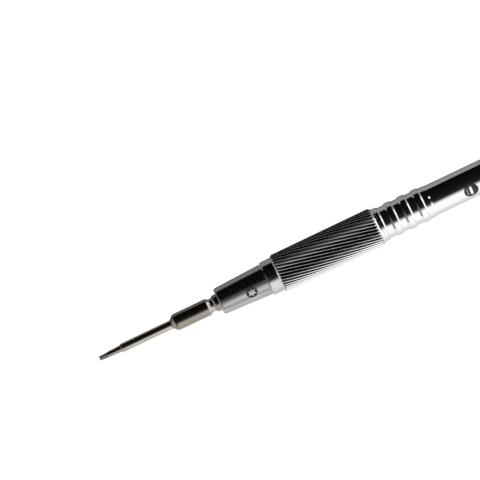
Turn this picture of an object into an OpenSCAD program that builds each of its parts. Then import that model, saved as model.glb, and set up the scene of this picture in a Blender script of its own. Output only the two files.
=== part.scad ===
// Pocket screwdriver: a collet chuck holds a double-ended star bit, the hollow
// handle stores a double-ended flat-blade bit, and the tail has a pocket clip
// and a ball-bearing swivel cap. The tool lies along +X with the star tip at
// the origin. Each piece is drawn along +Z from the tip and then laid down.

/* [Bits] */
// Length of each double-ended bit
bit_length = 64; // [60:0.5:68]
// Length of the clamped bit that is inside the handle
held_length = 33.5; // [33:0.25:35]
// Length of the thin blade, from the tip to the foot of the shoulder
blade_length = 18.6; // [15:0.05:19]
// Length of the narrower working tip
tip_length = 5.5; // [3.5:0.1:7]
// Diameter of the star tip at its end
tip_end_d = 1.15; // [0.9:0.05:1.4]
// Diameter of the star tip at its root
tip_root_d = 1.6; // [1.45:0.05:1.9]
// Diameter of the thin blade
blade_d = 2.06; // [1.95:0.02:2.3]
// Diameter of the thick shank
shank_d = 4; // [3.6:0.1:4]
// Length of the conical shoulder between blade and shank
shoulder_length = 1; // [0.8:0.05:1.4]
// Distance from the shoulder to the ring groove
groove_from_shoulder = 8.5; // [7:0.05:8.8]
// Width of the floor of the ring groove
groove_width = 0.65; // [0.4:0.05:0.9]
// Depth of the ring groove
groove_depth = 0.42; // [0.2:0.02:0.5]
// Width of the flat blade at the front of the stored bit
flat_blade_w = 2; // [1.6:0.1:2.05]
// Thickness of the flat blades at their ends
flat_blade_t = 0.4; // [0.3:0.05:0.6]

/* [Nose] */
// Length of the nose cone
nose_length = 12.1; // [11.5:0.1:14]
// Wall of the nose round its mouth
nose_front_wall = 1.16; // [1:0.02:1.3]
// Wall of the nose at its back, round the thread
nose_rear_wall = 0.94; // [0.8:0.02:1]
// Radius of the rounded front edge of the nose
nose_round = 0.65; // [0.3:0.05:0.7]
// Thread pitch of the nose
nose_pitch = 0.5; // [0.35:0.05:0.75]
// Diameter of the star sign on the nose
star_sign_d = 2.75; // [2:0.05:3]
// Distance from the mouth of the nose to the centre of the star sign
star_sign_from_mouth = 7.9; // [6:0.1:9]

/* [Grip] */
// Diameter of the plain ring in front of the grip
ring_d = 8.24; // [8.1:0.02:8.5]
// Length of the plain ring in front of the grip
ring_length = 3; // [2:0.1:4]
// Diameter of the fluted grip
grip_d = 9.26; // [8.9:0.02:9.7]
// Length of the fluted grip
grip_length = 26; // [23:0.2:28]
// Number of flutes round the grip
flute_count = 36; // [28:1:40]
// Depth of each flute
flute_depth = 0.26; // [0.15:0.01:0.35]
// Angle between the flutes and the length of the tool
flute_lean = 13; // [0:1:20]

/* [Barrel] */
// Wall of the plastic sleeve round the stored bit
sleeve_wall = 0.92; // [0.84:0.02:1]
// Wall of the barrel
barrel_wall = 0.72; // [0.6:0.02:0.76]
// Number of rings turned on the barrel
ring_count = 4; // [2:1:6]
// Distance from one turned ring to the next
ring_pitch = 3.46; // [3:0.02:4]
// Height of the turned rings above the hollows between them
ring_height = 0.25; // [0.15:0.01:0.4]
// Diameter of the flat-blade sign on the barrel
flat_sign_d = 3.45; // [2.5:0.05:3.6]
// Distance from the front of the barrel to the centre of the flat-blade sign
flat_sign_from_front = 22.56; // [20:0.02:30]

/* [Tail] */
// How far the clip collar stands out from the barrel
collar_step = 0.45; // [0.4:0.05:0.6]
// Length of the clip collar
collar_length = 6.55; // [6.4:0.05:7.5]
// Thread pitch of the tail plug
tail_pitch = 0.75; // [0.5:0.05:1]
// Length of the flange on the tail plug
flange_length = 2.55; // [2:0.05:3.5]
// Diameter of the swivel cap
cap_d = 9.26; // [8.9:0.02:9.4]
// Length of the swivel cap
cap_length = 8.5; // [7.5:0.1:10]
// Number of bearing balls under the cap
ball_count = 8; // [6:1:9]
// Diameter of each bearing ball
ball_d = 1; // [0.9:0.02:1.1]

/* [Clip] */
// Length of the clip arm from its pin to the end of its lip
clip_length = 29; // [24:0.5:29]
// Width of the clip arm
clip_width = 3.4; // [3.3:0.05:3.6]
// Thickness of the clip arm
clip_thickness = 0.6; // [0.5:0.05:0.7]
// Diameter of the clip's hinge pin
clip_pin_d = 0.9; // [0.7:0.05:1]

/* [Hidden] */
$fn = 96;

// One flute across the tool: shares of the angle from one to the next and of its depth
flute_shares = [[-0.15, 0], [0.15, 0], [0.4, 1], [0.6, 1]];
flute_steps = 12;         // slices along the leaning flutes

// Shared clearances
overrun = 1;              // how far a cut runs past what it cuts
running_gap = 0.03;       // radial play of parts that turn or slide
seat_gap = 0.05;          // end play of parts that are not clamped
seam_gap = 0.15;          // open seam between nose and ring
edge = 0.3;               // small turned chamfer

// Bit
shank_r = shank_d / 2;
blade_r = blade_d / 2;
shank_start = blade_length + shoulder_length;
groove_start = shank_start + groove_from_shoulder;
groove_r = shank_r - groove_depth;
blade_gap = 0.32;         // from the blades of both bits to the bores round them
blade_step = 0.15;        // bevel between working tip and blade
star_lobes = 6;
star_flute_r = 0.17;      // radius of the cutter between two lobes
star_flute_share = 1.12;  // where that cutter runs, as a share of the tip radius
star_cut_length = 2.4;    // length of the star section
cross_wing_t = 0.32;      // thickness of the wings of the cross tip
cross_taper = 6;          // lean of the hollows between those wings

// Collet and nose, along the tool
reach = bit_length - held_length;
mouth_length = 1;         // plain bore at the mouth of the nose
collet_gap = 0.1;         // from that bore to the collet
collet_wall = 0.42;       // wall of the collet's tail
collet_front_wall = 0.25; // wall of the collet at the front of its cone
collet_cone_length = 3;
collet_cone_rise = 0.5;   // how much wider the cone gets over its length
collet_land = 0.6;        // cylindrical land behind the cone
collet_length = 9.9;
collet_slot_w = 0.35;
collet_slot_length = 7.6;
collet_slot_count = 4;
cone_gap = 0.04;          // between collet cone and nose cone
bit_gap = 0.03;           // radial play of a bit in its bore
collet_bore_r = shank_r + bit_gap;
collet_tail_r = collet_bore_r + collet_wall;
collet_front = reach + mouth_length + collet_gap;
cone_front_r = collet_bore_r + collet_front_wall;
cone_rear_r = cone_front_r + collet_cone_rise;
collet_rear = collet_front + collet_length;

// Chuck body
stub_wall = 0.44;
stub_from_mouth = 6.2;    // from the mouth of the nose to the front of the chuck body
stub_bore_r = collet_tail_r + seat_gap;
stub_r = stub_bore_r + stub_wall;
nose_front_r = shank_r + seat_gap + nose_front_wall;
nose_rear_r = stub_r + running_gap + nose_rear_wall;
stub_start = reach + stub_from_mouth;
nose_end = reach + nose_length;
ring_start = nose_end + seam_gap;
grip_start = ring_start + ring_length;
barrel_start = grip_start + grip_length + seat_gap;
body_r = 3.3;             // outside of the body under the grip
spring_space = 2.4;       // room for the collet spring when the nose is tight
shank_end = bit_length - shank_start;
pocket_end = collet_rear + spring_space;
blade_bore_r = blade_r + blade_gap;
blind_gap = 1;            // from the hidden tip to the end of its bore
web = 2.2;                // wall between the two bits
web_start = bit_length + blind_gap;
web_end = web_start + web;

// Stored bit, magazine and barrel
spare_start = web_end + edge;
spare_end = spare_start + bit_length;
spare_shank_start = spare_start + shank_start;
spare_shank_end = spare_end - shank_start;
sleeve_lip = 1.6;         // front lip of the bit sleeve, ahead of the shoulder
sleeve_start = spare_shank_start - shoulder_length - sleeve_lip;
chuck_end = sleeve_start - seat_gap;
spare_overhang = 3.5;     // the stored bit reaches this far past the barrel
barrel_end = spare_end - spare_overhang;
sleeve_bore_r = shank_r + seat_gap;
bore_r = sleeve_bore_r + sleeve_wall + running_gap;
barrel_r = bore_r + barrel_wall;
barrel_d = 2 * barrel_r;
hollow_rise = 0.12;       // the ringed part stands this far above the plain part
taper_length = 0.5;       // cone from the ringed part to the plain part
ring_lead_share = 0.25;   // share of the first ring that the grip covers
// One ring: shares of its height and of the pitch, steep in front and sloping behind
ring_shares = [[0, 0.05], [0.75, 0.09], [1, 0.15], [1, 0.49], [0.75, 0.54], [0, 0.65]];

// Tail plug, collar and cap, along the tool
plug_reach = 6.2;         // how far the plug reaches into the barrel
plug_start = barrel_end - plug_reach;
plug_r = bore_r - running_gap;
plug_wide_bore_length = 2.2;
plug_blind_gap = 0.8;
o_ring_t = 0.5;
o_ring_groove_w = 1.05;
o_ring_from_end = 0.9;
collar_start = barrel_end + seat_gap;
collar_end = collar_start + collar_length;
collar_r = barrel_r + collar_step;
flange_start = collar_end + seat_gap;
flange_end = flange_start + flange_length;
flange_flutes = 24;
flange_flute_r = 0.4;
flange_flute_depth = 0.12;
race_gap = 0.3;           // open gap between flange and cap
race_from_edge = 1.25;    // from the flange's edge to the middle of the balls
race_r = collar_r - race_from_edge;
race_z = flange_end + race_gap / 2;
ball_gap = 0.02;          // from a ball to the groove that it runs in
race_groove_r = ball_d / 2 + ball_gap;
cage_t = 0.18;
cage_rim = 0.15;
cage_width = ball_d + 2 * cage_rim;
cap_start = flange_end + race_gap;
cap_end = cap_start + cap_length;
cap_r = cap_d / 2;
cap_front_r = collar_r - seat_gap;
cap_flare = 1.4;
cap_round = 1.1;
cap_groove_from_front = 2.6;
screw_thread_r = 0.7;
screw_thread_length = 3.5;
shoulder_r = 1;
screw_head_r = 1.8;
screw_head_length = 1.2;
screw_slot_w = 0.4;
screw_slot_depth = 0.45;
disc_r = 2.6;
disc_t = 0.95;
disc_recess = 0.35;       // how far the disc lies below the rim of the cap
disc_dish = 0.25;
// The dish: shares of the disc's radius and of the dish's depth
dish_shares = [[0.7, 0.5], [0.4, 0.85], [0, 1]];
disc_seat = cap_end - disc_recess - disc_t;
head_space = 1.75;
head_seat = disc_seat - head_space;

// Clip
clip_turn = 300;          // where the clip sits round the tool
pin_r = clip_pin_d / 2;
pin_from_front = 2.2;
pin_z = collar_start + pin_from_front;
knuckle_wall = 0.3;
knuckle_r = pin_r + knuckle_wall;
pin_rho = collar_r + knuckle_r + 2 * seat_gap;
ear_t = 0.7;
ear_gap = 0.05;
knuckle_w = 2.1;
ear_inner = knuckle_w / 2 + ear_gap;
ear_outer = ear_inner + ear_t;
ear_half_length = 1.4;
arm_notch = 0.2;          // space between an ear and the wide arm
arm_tail = 3.6;
arm_round = 0.7;
pad_from_lip = 2.6;       // from the end of the lip to where the arm touches
pad_slope = 5.5;          // length over which the arm dips to the barrel
pad_gap = 0.04;
arm_crown = 0.15;         // how much the arm bows outward between pin and pad
arm_tip_share = 0.72;     // width of the arm at its lip, as a share
pad_z = pin_z - clip_length + pad_from_lip;
pad_rho = barrel_r + pad_gap + clip_thickness / 2;
spring_from_pin = 2.5;
clip_spring_z = pin_z + spring_from_pin;
pocket_r = 0.85;
collar_inner_wall = 0.47;
pocket_floor = bore_r + collar_inner_wall;
key_w = 1.6;
key_length = 0.8;
key_wall_share = 0.85;    // share of the barrel's wall that the key fills

// Springs: wire radius, mean radius and turns
collet_wire_r = 0.14;
collet_coil_r = (collet_bore_r + stub_bore_r) / 2;
collet_turns = 2.75;
magazine_wire_r = 0.18;
magazine_coil_r = shank_r - magazine_wire_r;
magazine_turns = 8;
spring_step_share = 0.3;  // how far down the bit's shoulder that spring starts
clip_wire_r = 0.1;
clip_coil_r = 0.62;
clip_turns = 1.5;

// Signs
sign_depth = 0.1;
star_sign_turn = 202;     // where the star sign sits round the tool
flat_sign_turn = 210;     // where the flat-blade sign sits round the tool
star_sign_z = reach + star_sign_from_mouth;
flat_sign_z = barrel_start + flat_sign_from_front;
sign_star_outer_share = 0.36;
sign_star_inner_share = 0.19;
// Bars of the flat-blade sign: shares of its diameter for place, width and length
sign_bar_shares = [[0.05, 0.18, 0.62], [-0.24, 0.11, 0.54]];

// Colours
satin_chrome = [0.62, 0.63, 0.65];
bright_chrome = [0.8, 0.81, 0.83];
nickel = [0.66, 0.62, 0.56];
steel = [0.55, 0.56, 0.58];
enamel = [0.08, 0.08, 0.09];
nylon = [0.85, 0.84, 0.8];
brass = [0.76, 0.6, 0.3];
rubber = [0.05, 0.05, 0.05];

// Lays a piece that was drawn along +Z down along +X
module laid() rotate([0, 90, 0]) children();

// Points of an arc in a turned outline, as [radius, place along the tool]
function arc(centre, radius, from, to, steps = 6) = [
    for (i = [0:steps]) let (a = from + (to - from) * i / steps)
        [centre[0] + radius * cos(a), centre[1] + radius * sin(a)]
];

// A solid of revolution from a closed outline
module turned(points) rotate_extrude() polygon(points);

// A plain bore from one place along the tool to another
module bore(radius, from, to) translate([0, 0, from]) cylinder(r = radius, h = to - from);

// The half outline of a bit, without its working tips, from one end to the other
module bit_blank(tip_r, root_r) {
    front = [
        [0, 0],
        [tip_r, 0],
        [root_r, tip_length],
        [blade_r, tip_length + blade_step],
        [blade_r, blade_length],
        [shank_r, shank_start],
        [shank_r, groove_start],
        [groove_r, groove_start + groove_depth],
        [groove_r, groove_start + groove_depth + groove_width],
        [shank_r, groove_start + groove_width + 2 * groove_depth]
    ];
    back = [for (i = [len(front) - 1:-1:0]) [front[i][0], bit_length - front[i][1]]];
    turned(concat(front, back));
}

// Cutters that leave a six-lobed star at the end of a tip
module star_cutters(tip_r) {
    for (i = [0:star_lobes - 1])
        rotate([0, 0, i * 360 / star_lobes])
            translate([tip_r * star_flute_share, 0, -overrun])
                cylinder(r = star_flute_r, h = star_cut_length + overrun);
}

// Cutters that leave a cross at the end of a tip
module cross_cutters(tip_r) {
    for (i = [0:3])
        rotate([0, 0, i * 90])
            translate([cross_wing_t / 2, cross_wing_t / 2, -overrun])
                rotate([-cross_taper, cross_taper, 0])
                    cube([tip_r * 2, tip_r * 2, star_cut_length + overrun]);
}

// Wedge cutters that leave a flat blade of the given width at the end of a tip
module flat_cutters() {
    for (side = [0, 180])
        rotate([0, 0, side])
            rotate([90, 0, 90])
                translate([0, 0, -blade_d])
                    linear_extrude(height = 2 * blade_d)
                        polygon([
                            [flat_blade_t / 2, -overrun],
                            [flat_blade_t / 2, 0],
                            [blade_r + edge, tip_length],
                            [blade_d, tip_length],
                            [blade_d, -overrun]
                        ]);
}

module star_bit() laid() color(nickel) {
    difference() {
        bit_blank(tip_end_d / 2, tip_root_d / 2);
        star_cutters(tip_end_d / 2);
        translate([0, 0, bit_length]) mirror([0, 0, 1]) cross_cutters(tip_root_d / 2);
    }
}

module spare_bit() laid() color(nickel) translate([0, 0, spare_start]) {
    difference() {
        bit_blank(flat_blade_w / 2, flat_blade_w / 2);
        flat_cutters();
        translate([0, 0, bit_length]) mirror([0, 0, 1]) flat_cutters();
    }
}

// Outside radius of the nose at a place along the tool
function nose_r(z) = nose_front_r + (nose_rear_r - nose_front_r) * (z - reach) / nose_length;

// The six-pointed star of the sign, pierced through the disc
module sign_star(diameter) {
    points = [
        for (i = [0:2 * star_lobes - 1]) let (
            share = i % 2 == 0 ? sign_star_outer_share : sign_star_inner_share,
            a = i * 180 / star_lobes
        ) diameter * share * [cos(a), sin(a)]
    ];
    polygon(points);
}

// The bars of the flat-blade sign, pierced through the disc
module sign_bars(diameter)
    for (bar = sign_bar_shares)
        translate([-diameter * bar[0], 0])
            square([diameter * bar[1], diameter * bar[2]], center = true);

// A sign's outline pushed straight through one side of the tool, at a place and turn
module sign_stamp(z, turn, diameter, height)
    rotate([0, 0, turn])
        translate([0, 0, z])
            rotate([0, 90, 0])
                linear_extrude(height = height)
                    difference() {
                        circle(d = diameter);
                        children();
                    }

// A thin shell of the nose's surface, as deep as the sign
module nose_shell()
    turned([
        [nose_r(reach) - sign_depth, reach],
        [nose_r(reach), reach],
        [nose_r(nose_end), nose_end],
        [nose_r(nose_end) - sign_depth, nose_end]
    ]);

// A thin shell of the barrel's surface, as deep as the sign
module barrel_shell()
    difference() {
        bore(barrel_r, barrel_start, barrel_end);
        bore(barrel_r - sign_depth, barrel_start - overrun, barrel_end + overrun);
    }

module star_mark_solid()
    intersection() {
        nose_shell();
        sign_stamp(star_sign_z, star_sign_turn, star_sign_d, 2 * nose_rear_r) sign_star(star_sign_d);
    }

module flat_mark_solid()
    intersection() {
        barrel_shell();
        sign_stamp(flat_sign_z, flat_sign_turn, flat_sign_d, barrel_d) sign_bars(flat_sign_d);
    }

module nose_cone() laid() color(satin_chrome) {
    cone_start = collet_front;
    cone_end = collet_front + collet_cone_length;
    difference() {
        turned(concat(
            [[shank_r + seat_gap, reach]],
            arc([nose_r(reach) - nose_round, reach + nose_round], nose_round, -90, 0),
            [
                [nose_r(nose_end) - edge / 2, nose_end],
                [stub_r + running_gap, nose_end],
                [stub_r + running_gap, stub_start - edge],
                [cone_rear_r + cone_gap, stub_start - edge],
                [cone_rear_r + cone_gap, cone_end],
                [cone_front_r + cone_gap, cone_start],
                [cone_front_r + cone_gap, cone_start - collet_gap],
                [shank_r + seat_gap, cone_start - collet_gap]
            ]
        ));
        star_mark_solid();
    }
}

module star_mark() laid() color(enamel) star_mark_solid();

module collet() laid() color(steel) {
    cone_end = collet_front + collet_cone_length;
    difference() {
        turned([
            [collet_bore_r, collet_front],
            [cone_front_r, collet_front],
            [cone_rear_r, cone_end],
            [cone_rear_r, cone_end + collet_land],
            [collet_tail_r, cone_end + 2 * collet_land],
            [collet_tail_r, collet_rear],
            [collet_bore_r, collet_rear]
        ]);
        for (i = [0:collet_slot_count - 1])
            rotate([0, 0, (i + 1 / 2) * 360 / collet_slot_count])
                translate([0, -collet_slot_w / 2, collet_front - overrun])
                    cube([cone_rear_r + overrun, collet_slot_w, collet_slot_length + overrun]);
    }
}

// Centre line of a coil of the given mean radius, turns and rise
function coil_point(coil_r, turns, rise, t) =
    [coil_r * cos(360 * turns * t), coil_r * sin(360 * turns * t), rise * t];

coil_rings = 12;          // rings in one turn of a spring
wire_sides = 6;

// One ring of the wire's outline, square to the coil at share t of its length
function wire_ring(coil_r, wire_r, turns, rise, t) =
    let (
        c = coil_point(coil_r, turns, rise, t),
        a = 360 * turns * t,
        out = [cos(a), sin(a), 0],
        lean = atan2(rise, 2 * PI * coil_r * turns),
        up = [sin(a) * sin(lean), -cos(a) * sin(lean), cos(lean)]
    )
    [for (k = [0:wire_sides - 1]) let (b = 360 * k / wire_sides)
        c + wire_r * (cos(b) * out + sin(b) * up)];

// A spring as one unbroken tube of wire standing on z = 0
module coil_spring(coil_r, wire_r, turns, length) {
    rings = ceil(turns * coil_rings);
    rise = length - 2 * wire_r;
    points = [
        for (i = [0:rings]) each wire_ring(coil_r, wire_r, turns, rise, i / rings)
    ];
    side_faces = [
        for (i = [0:rings - 1]) for (k = [0:wire_sides - 1]) let (
            a = i * wire_sides + k,
            b = i * wire_sides + (k + 1) % wire_sides
        ) each [[a, a + wire_sides, b], [b, a + wire_sides, b + wire_sides]]
    ];
    first = [for (k = [1:wire_sides - 2]) [0, k, k + 1]];
    base = rings * wire_sides;
    last = [for (k = [1:wire_sides - 2]) [base, base + k + 1, base + k]];
    translate([0, 0, wire_r])
        polyhedron(points = points, faces = concat(side_faces, first, last));
}

// Least distance between two turns of a coil, less the wire
function coil_gap(coil_r, wire_r, turns, length) =
    let (
        rings = ceil(turns * coil_rings),
        rise = length - 2 * wire_r,
        half = coil_rings / 2
    )
    min([
        for (i = [0:rings - half]) for (j = [i + half:rings])
            norm(coil_point(coil_r, turns, rise, i / rings)
                - coil_point(coil_r, turns, rise, j / rings))
    ]) - 2 * wire_r;

collet_spring_length = spring_space - 2 * seat_gap;
magazine_spring_start = spare_shank_end + shoulder_length * spring_step_share;
magazine_seat = plug_start + plug_wide_bore_length;
magazine_spring_length = magazine_seat - magazine_spring_start - seat_gap;
clip_spring_length = pin_rho - clip_thickness / 2 - pocket_floor - seat_gap;

echo(str("collet spring least gap ",
    coil_gap(collet_coil_r, collet_wire_r, collet_turns, collet_spring_length)));
echo(str("magazine spring least gap ",
    coil_gap(magazine_coil_r, magazine_wire_r, magazine_turns, magazine_spring_length)));
echo(str("clip spring least gap ",
    coil_gap(clip_coil_r, clip_wire_r, clip_turns, clip_spring_length)));

module collet_spring() laid() color(steel)
    translate([0, 0, collet_rear + seat_gap])
        coil_spring(collet_coil_r, collet_wire_r, collet_turns, collet_spring_length);

module chuck_body() laid() color(satin_chrome)
    difference() {
        chuck_outside();
        bore(stub_bore_r, stub_start - overrun, pocket_end);
        bore(shank_r + seat_gap, stub_start - overrun, shank_end + seat_gap);
        bore(blade_bore_r, stub_start - overrun, web_start);
        translate([0, 0, shank_end + seat_gap])
            cylinder(r1 = shank_r + seat_gap, r2 = blade_bore_r, h = shoulder_length - seat_gap);
        bore(blade_bore_r, web_end, chuck_end + overrun);
    }

// The chuck body before it is bored, with the ring in front of the grip
module chuck_outside()
    turned([
        [0, stub_start],
        [stub_r - edge / 2, stub_start],
        [stub_r, stub_start + edge / 2],
        [stub_r, ring_start],
        [nose_rear_r, ring_start],
        [ring_d / 2, ring_start + 2 * edge],
        [ring_d / 2, grip_start],
        [body_r, grip_start],
        [body_r, barrel_start - seat_gap],
        [bore_r - running_gap, barrel_start - seat_gap],
        [bore_r - running_gap, chuck_end],
        [0, chuck_end]
    ]);

// Outline of the fluted grip across the tool
function flute_points() = [
    for (i = [0:flute_count - 1]) each [
        for (p = flute_shares) let (
            a = (i + p[0]) * 360 / flute_count,
            r = grip_d / 2 - p[1] * flute_depth
        ) [r * cos(a), r * sin(a)]
    ]
];

module grip_sleeve() laid() color(bright_chrome) {
    twist = grip_length * tan(flute_lean) / (grip_d / 2) * 180 / PI;
    end_r = ring_d / 2;
    difference() {
        intersection() {
            translate([0, 0, grip_start])
                linear_extrude(height = grip_length, twist = -twist, slices = flute_steps)
                    polygon(flute_points());
            turned([
                [0, grip_start],
                [end_r, grip_start],
                [end_r + overrun, grip_start + overrun],
                [end_r + overrun, grip_start + grip_length - overrun],
                [end_r, grip_start + grip_length],
                [0, grip_start + grip_length]
            ]);
        }
        bore(body_r + running_gap, grip_start - overrun, grip_start + grip_length + overrun);
    }
}

// One turned ring of the barrel, from a place along the tool
function ring_points(z) = [
    for (p = ring_shares)
        [barrel_r + hollow_rise + p[0] * ring_height, z + p[1] * ring_pitch]
];

module barrel() laid() color(bright_chrome) {
    hollow_r = barrel_r + hollow_rise;
    rings_end = barrel_start + (ring_count - ring_lead_share) * ring_pitch;
    first = ring_points(barrel_start - ring_lead_share * ring_pitch);
    difference() {
        turned(concat(
            [[bore_r, barrel_start], [hollow_r + ring_height, barrel_start]],
            [for (i = [3:len(first) - 1]) first[i]],
            [for (n = [1:ring_count - 1]) each ring_points(
                barrel_start + (n - ring_lead_share) * ring_pitch)],
            [
                [hollow_r, rings_end],
                [barrel_r, rings_end + taper_length],
                [barrel_r, barrel_end],
                [bore_r, barrel_end]
            ]
        ));
        flat_mark_solid();
        rotate([0, 0, clip_turn])
            translate([-barrel_d, -key_w / 2 - seat_gap, barrel_end - key_length - seat_gap])
                cube([barrel_d, key_w + 2 * seat_gap, key_length + overrun]);
    }
}

module flat_mark() laid() color(enamel) flat_mark_solid();

module bit_sleeve() laid() color(nylon) {
    turned([
        [blade_bore_r, sleeve_start],
        [bore_r - running_gap, sleeve_start],
        [bore_r - running_gap, spare_shank_end - shoulder_length],
        [sleeve_bore_r, spare_shank_end - shoulder_length],
        [sleeve_bore_r, spare_shank_start - seat_gap],
        [blade_bore_r, spare_shank_start - shoulder_length]
    ]);
}

module magazine_spring() laid() color(steel)
    translate([0, 0, magazine_spring_start])
        coil_spring(magazine_coil_r, magazine_wire_r, magazine_turns, magazine_spring_length);

// Both ears of the clip collar, seen from the side and pierced for the pin
module clip_ears()
    for (side = [-1, 1])
        translate([0, side * (ear_inner + ear_t / 2), 0])
            rotate([90, 0, 0])
                translate([0, 0, -ear_t / 2])
                    difference() {
                        union() {
                            linear_extrude(height = ear_t)
                                polygon([
                                    [pocket_floor, pin_z - ear_half_length],
                                    [collar_r, pin_z - ear_half_length],
                                    [pin_rho, pin_z - knuckle_r],
                                    [pin_rho, pin_z + knuckle_r],
                                    [collar_r, pin_z + ear_half_length],
                                    [pocket_floor, pin_z + ear_half_length]
                                ]);
                            translate([pin_rho, pin_z, 0]) cylinder(r = knuckle_r, h = ear_t);
                        }
                        translate([pin_rho, pin_z, -overrun])
                            cylinder(r = pin_r + running_gap / 2, h = ear_t + 2 * overrun);
                    }

// The key that stops the collar turning on the barrel
module collar_key()
    intersection() {
        difference() {
            bore(bore_r + key_wall_share * (barrel_r - bore_r),
                collar_start - key_length, collar_start + edge);
            bore(bore_r + running_gap, collar_start - key_length - overrun,
                collar_start + edge + overrun);
        }
        translate([-barrel_d, -key_w / 2, collar_start - key_length])
            cube([barrel_d, key_w, key_length + edge]);
    }

module clip_collar() laid() rotate([0, 0, clip_turn]) color(bright_chrome) {
    difference() {
        turned([
            [bore_r, collar_start],
            [barrel_r, collar_start],
            [collar_r, collar_start + edge],
            [collar_r, collar_end - edge],
            [collar_r - edge, collar_end],
            [bore_r, collar_end]
        ]);
        translate([pocket_floor, 0, clip_spring_z])
            rotate([0, 90, 0])
                cylinder(r = pocket_r, h = 2 * collar_r);
    }
    clip_ears();
    collar_key();
}

// Height of the arm's middle above the tool's axis, at a place along the tool
function arm_rho(z) =
    let (
        reach_share = (pin_z - z) / (pin_z - pad_z),
        crown = z > pin_z ? 0 : arm_crown * sin(180 * min(1, max(0, reach_share))),
        dip_share = min(1, abs(z - pad_z) / pad_slope),
        dip = (1 + cos(180 * dip_share)) / 2
    )
    (pin_rho + crown) * (1 - dip) + pad_rho * dip;

module clip_arm() laid() rotate([0, 0, clip_turn]) color(bright_chrome) {
    lip_z = pin_z - clip_length;
    tail_z = pin_z + arm_tail;
    half = clip_thickness / 2;
    half_w = clip_width / 2;
    steps = 24;
    line = [for (i = [0:steps]) let (z = lip_z + (pin_z - lip_z) * i / steps) [arm_rho(z), z]];
    side = concat(
        [for (p = line) [p[0] + half, p[1]]],
        [[pin_rho + half, tail_z], [pin_rho - half, tail_z]],
        [for (i = [steps:-1:0]) [line[i][0] - half, line[i][1]]]
    );
    plan = [
        [-half_w * arm_tip_share + arm_round, lip_z],
        [half_w * arm_tip_share - arm_round, lip_z],
        [half_w * arm_tip_share, lip_z + arm_round],
        [half_w, pin_z - ear_half_length - arm_notch],
        [knuckle_w / 2, pin_z - ear_half_length - arm_notch],
        [knuckle_w / 2, pin_z + ear_half_length + arm_notch],
        [half_w, pin_z + ear_half_length + arm_notch],
        [half_w, tail_z - arm_round],
        [half_w - arm_round, tail_z],
        [-half_w + arm_round, tail_z],
        [-half_w, tail_z - arm_round],
        [-half_w, pin_z + ear_half_length + arm_notch],
        [-knuckle_w / 2, pin_z + ear_half_length + arm_notch],
        [-knuckle_w / 2, pin_z - ear_half_length - arm_notch],
        [-half_w, pin_z - ear_half_length - arm_notch],
        [-half_w * arm_tip_share, lip_z + arm_round]
    ];
    difference() {
        union() {
            intersection() {
                rotate([90, 0, 0])
                    translate([0, 0, -clip_width])
                        linear_extrude(height = 2 * clip_width) polygon(side);
                rotate([90, 0, 90])
                    linear_extrude(height = pin_rho + collar_r) polygon(plan);
            }
            translate([pin_rho, knuckle_w / 2, pin_z])
                rotate([90, 0, 0])
                    cylinder(r = knuckle_r, h = knuckle_w);
        }
        translate([pin_rho, knuckle_w, pin_z])
            rotate([90, 0, 0])
                cylinder(r = pin_r + running_gap, h = 2 * knuckle_w);
    }
}

module clip_pin() laid() rotate([0, 0, clip_turn]) color(steel)
    translate([pin_rho, ear_outer, pin_z])
        rotate([90, 0, 0])
            cylinder(r = pin_r, h = 2 * ear_outer);

module clip_spring() laid() rotate([0, 0, clip_turn]) color(steel)
    translate([pocket_floor, 0, clip_spring_z])
        rotate([0, 90, 0])
            coil_spring(clip_coil_r, clip_wire_r, clip_turns, clip_spring_length);

module tail_plug() laid() color(bright_chrome) {
    o_ring_end = barrel_end - o_ring_from_end;
    o_ring_start = o_ring_end - o_ring_groove_w;
    difference() {
        turned([
            [sleeve_bore_r, plug_start],
            [plug_r, plug_start],
            [plug_r, o_ring_start],
            [plug_r - o_ring_t, o_ring_start],
            [plug_r - o_ring_t, o_ring_end],
            [plug_r, o_ring_end],
            [plug_r, flange_start],
            [collar_r - edge, flange_start],
            [collar_r, flange_start + edge],
            [collar_r, flange_end - edge],
            [collar_r - edge, flange_end],
            [screw_thread_r + running_gap, flange_end],
            [screw_thread_r + running_gap, flange_end - screw_thread_length - seat_gap],
            [0, flange_end - screw_thread_length - seat_gap],
            [0, spare_end + plug_blind_gap],
            [blade_bore_r, spare_end + plug_blind_gap],
            [blade_bore_r, magazine_seat],
            [sleeve_bore_r, magazine_seat]
        ]);
        race_cut();
        for (i = [0:flange_flutes - 1])
            rotate([0, 0, i * 360 / flange_flutes])
                translate([collar_r + flange_flute_r - flange_flute_depth, 0,
                    flange_start - seat_gap / 2])
                    cylinder(r = flange_flute_r, h = flange_length + seat_gap, $fn = 24);
    }
}

module tail_o_ring() laid() color(rubber) {
    o_ring_end = barrel_end - o_ring_from_end;
    translate([0, 0, o_ring_end - o_ring_groove_w / 2])
        rotate_extrude()
            translate([plug_r - o_ring_t / 2 + running_gap / 2, 0])
                circle(d = o_ring_t, $fn = 24);
}

// The round groove that the balls run in
module race_cut()
    translate([0, 0, race_z])
        rotate_extrude()
            translate([race_r, 0])
                circle(r = race_groove_r, $fn = 48);

module swivel_balls() laid() color(steel)
    for (i = [0:ball_count - 1])
        rotate([0, 0, i * 360 / ball_count])
            translate([race_r, 0, race_z])
                sphere(d = ball_d, $fn = 32);

module ball_cage() laid() color(brass)
    difference() {
        turned([
            [race_r - cage_width / 2, race_z - cage_t / 2],
            [race_r + cage_width / 2, race_z - cage_t / 2],
            [race_r + cage_width / 2, race_z + cage_t / 2],
            [race_r - cage_width / 2, race_z + cage_t / 2]
        ]);
        for (i = [0:ball_count - 1])
            rotate([0, 0, i * 360 / ball_count])
                translate([race_r, 0, race_z - cage_t])
                    cylinder(d = ball_d + seat_gap, h = 2 * cage_t);
    }

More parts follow.
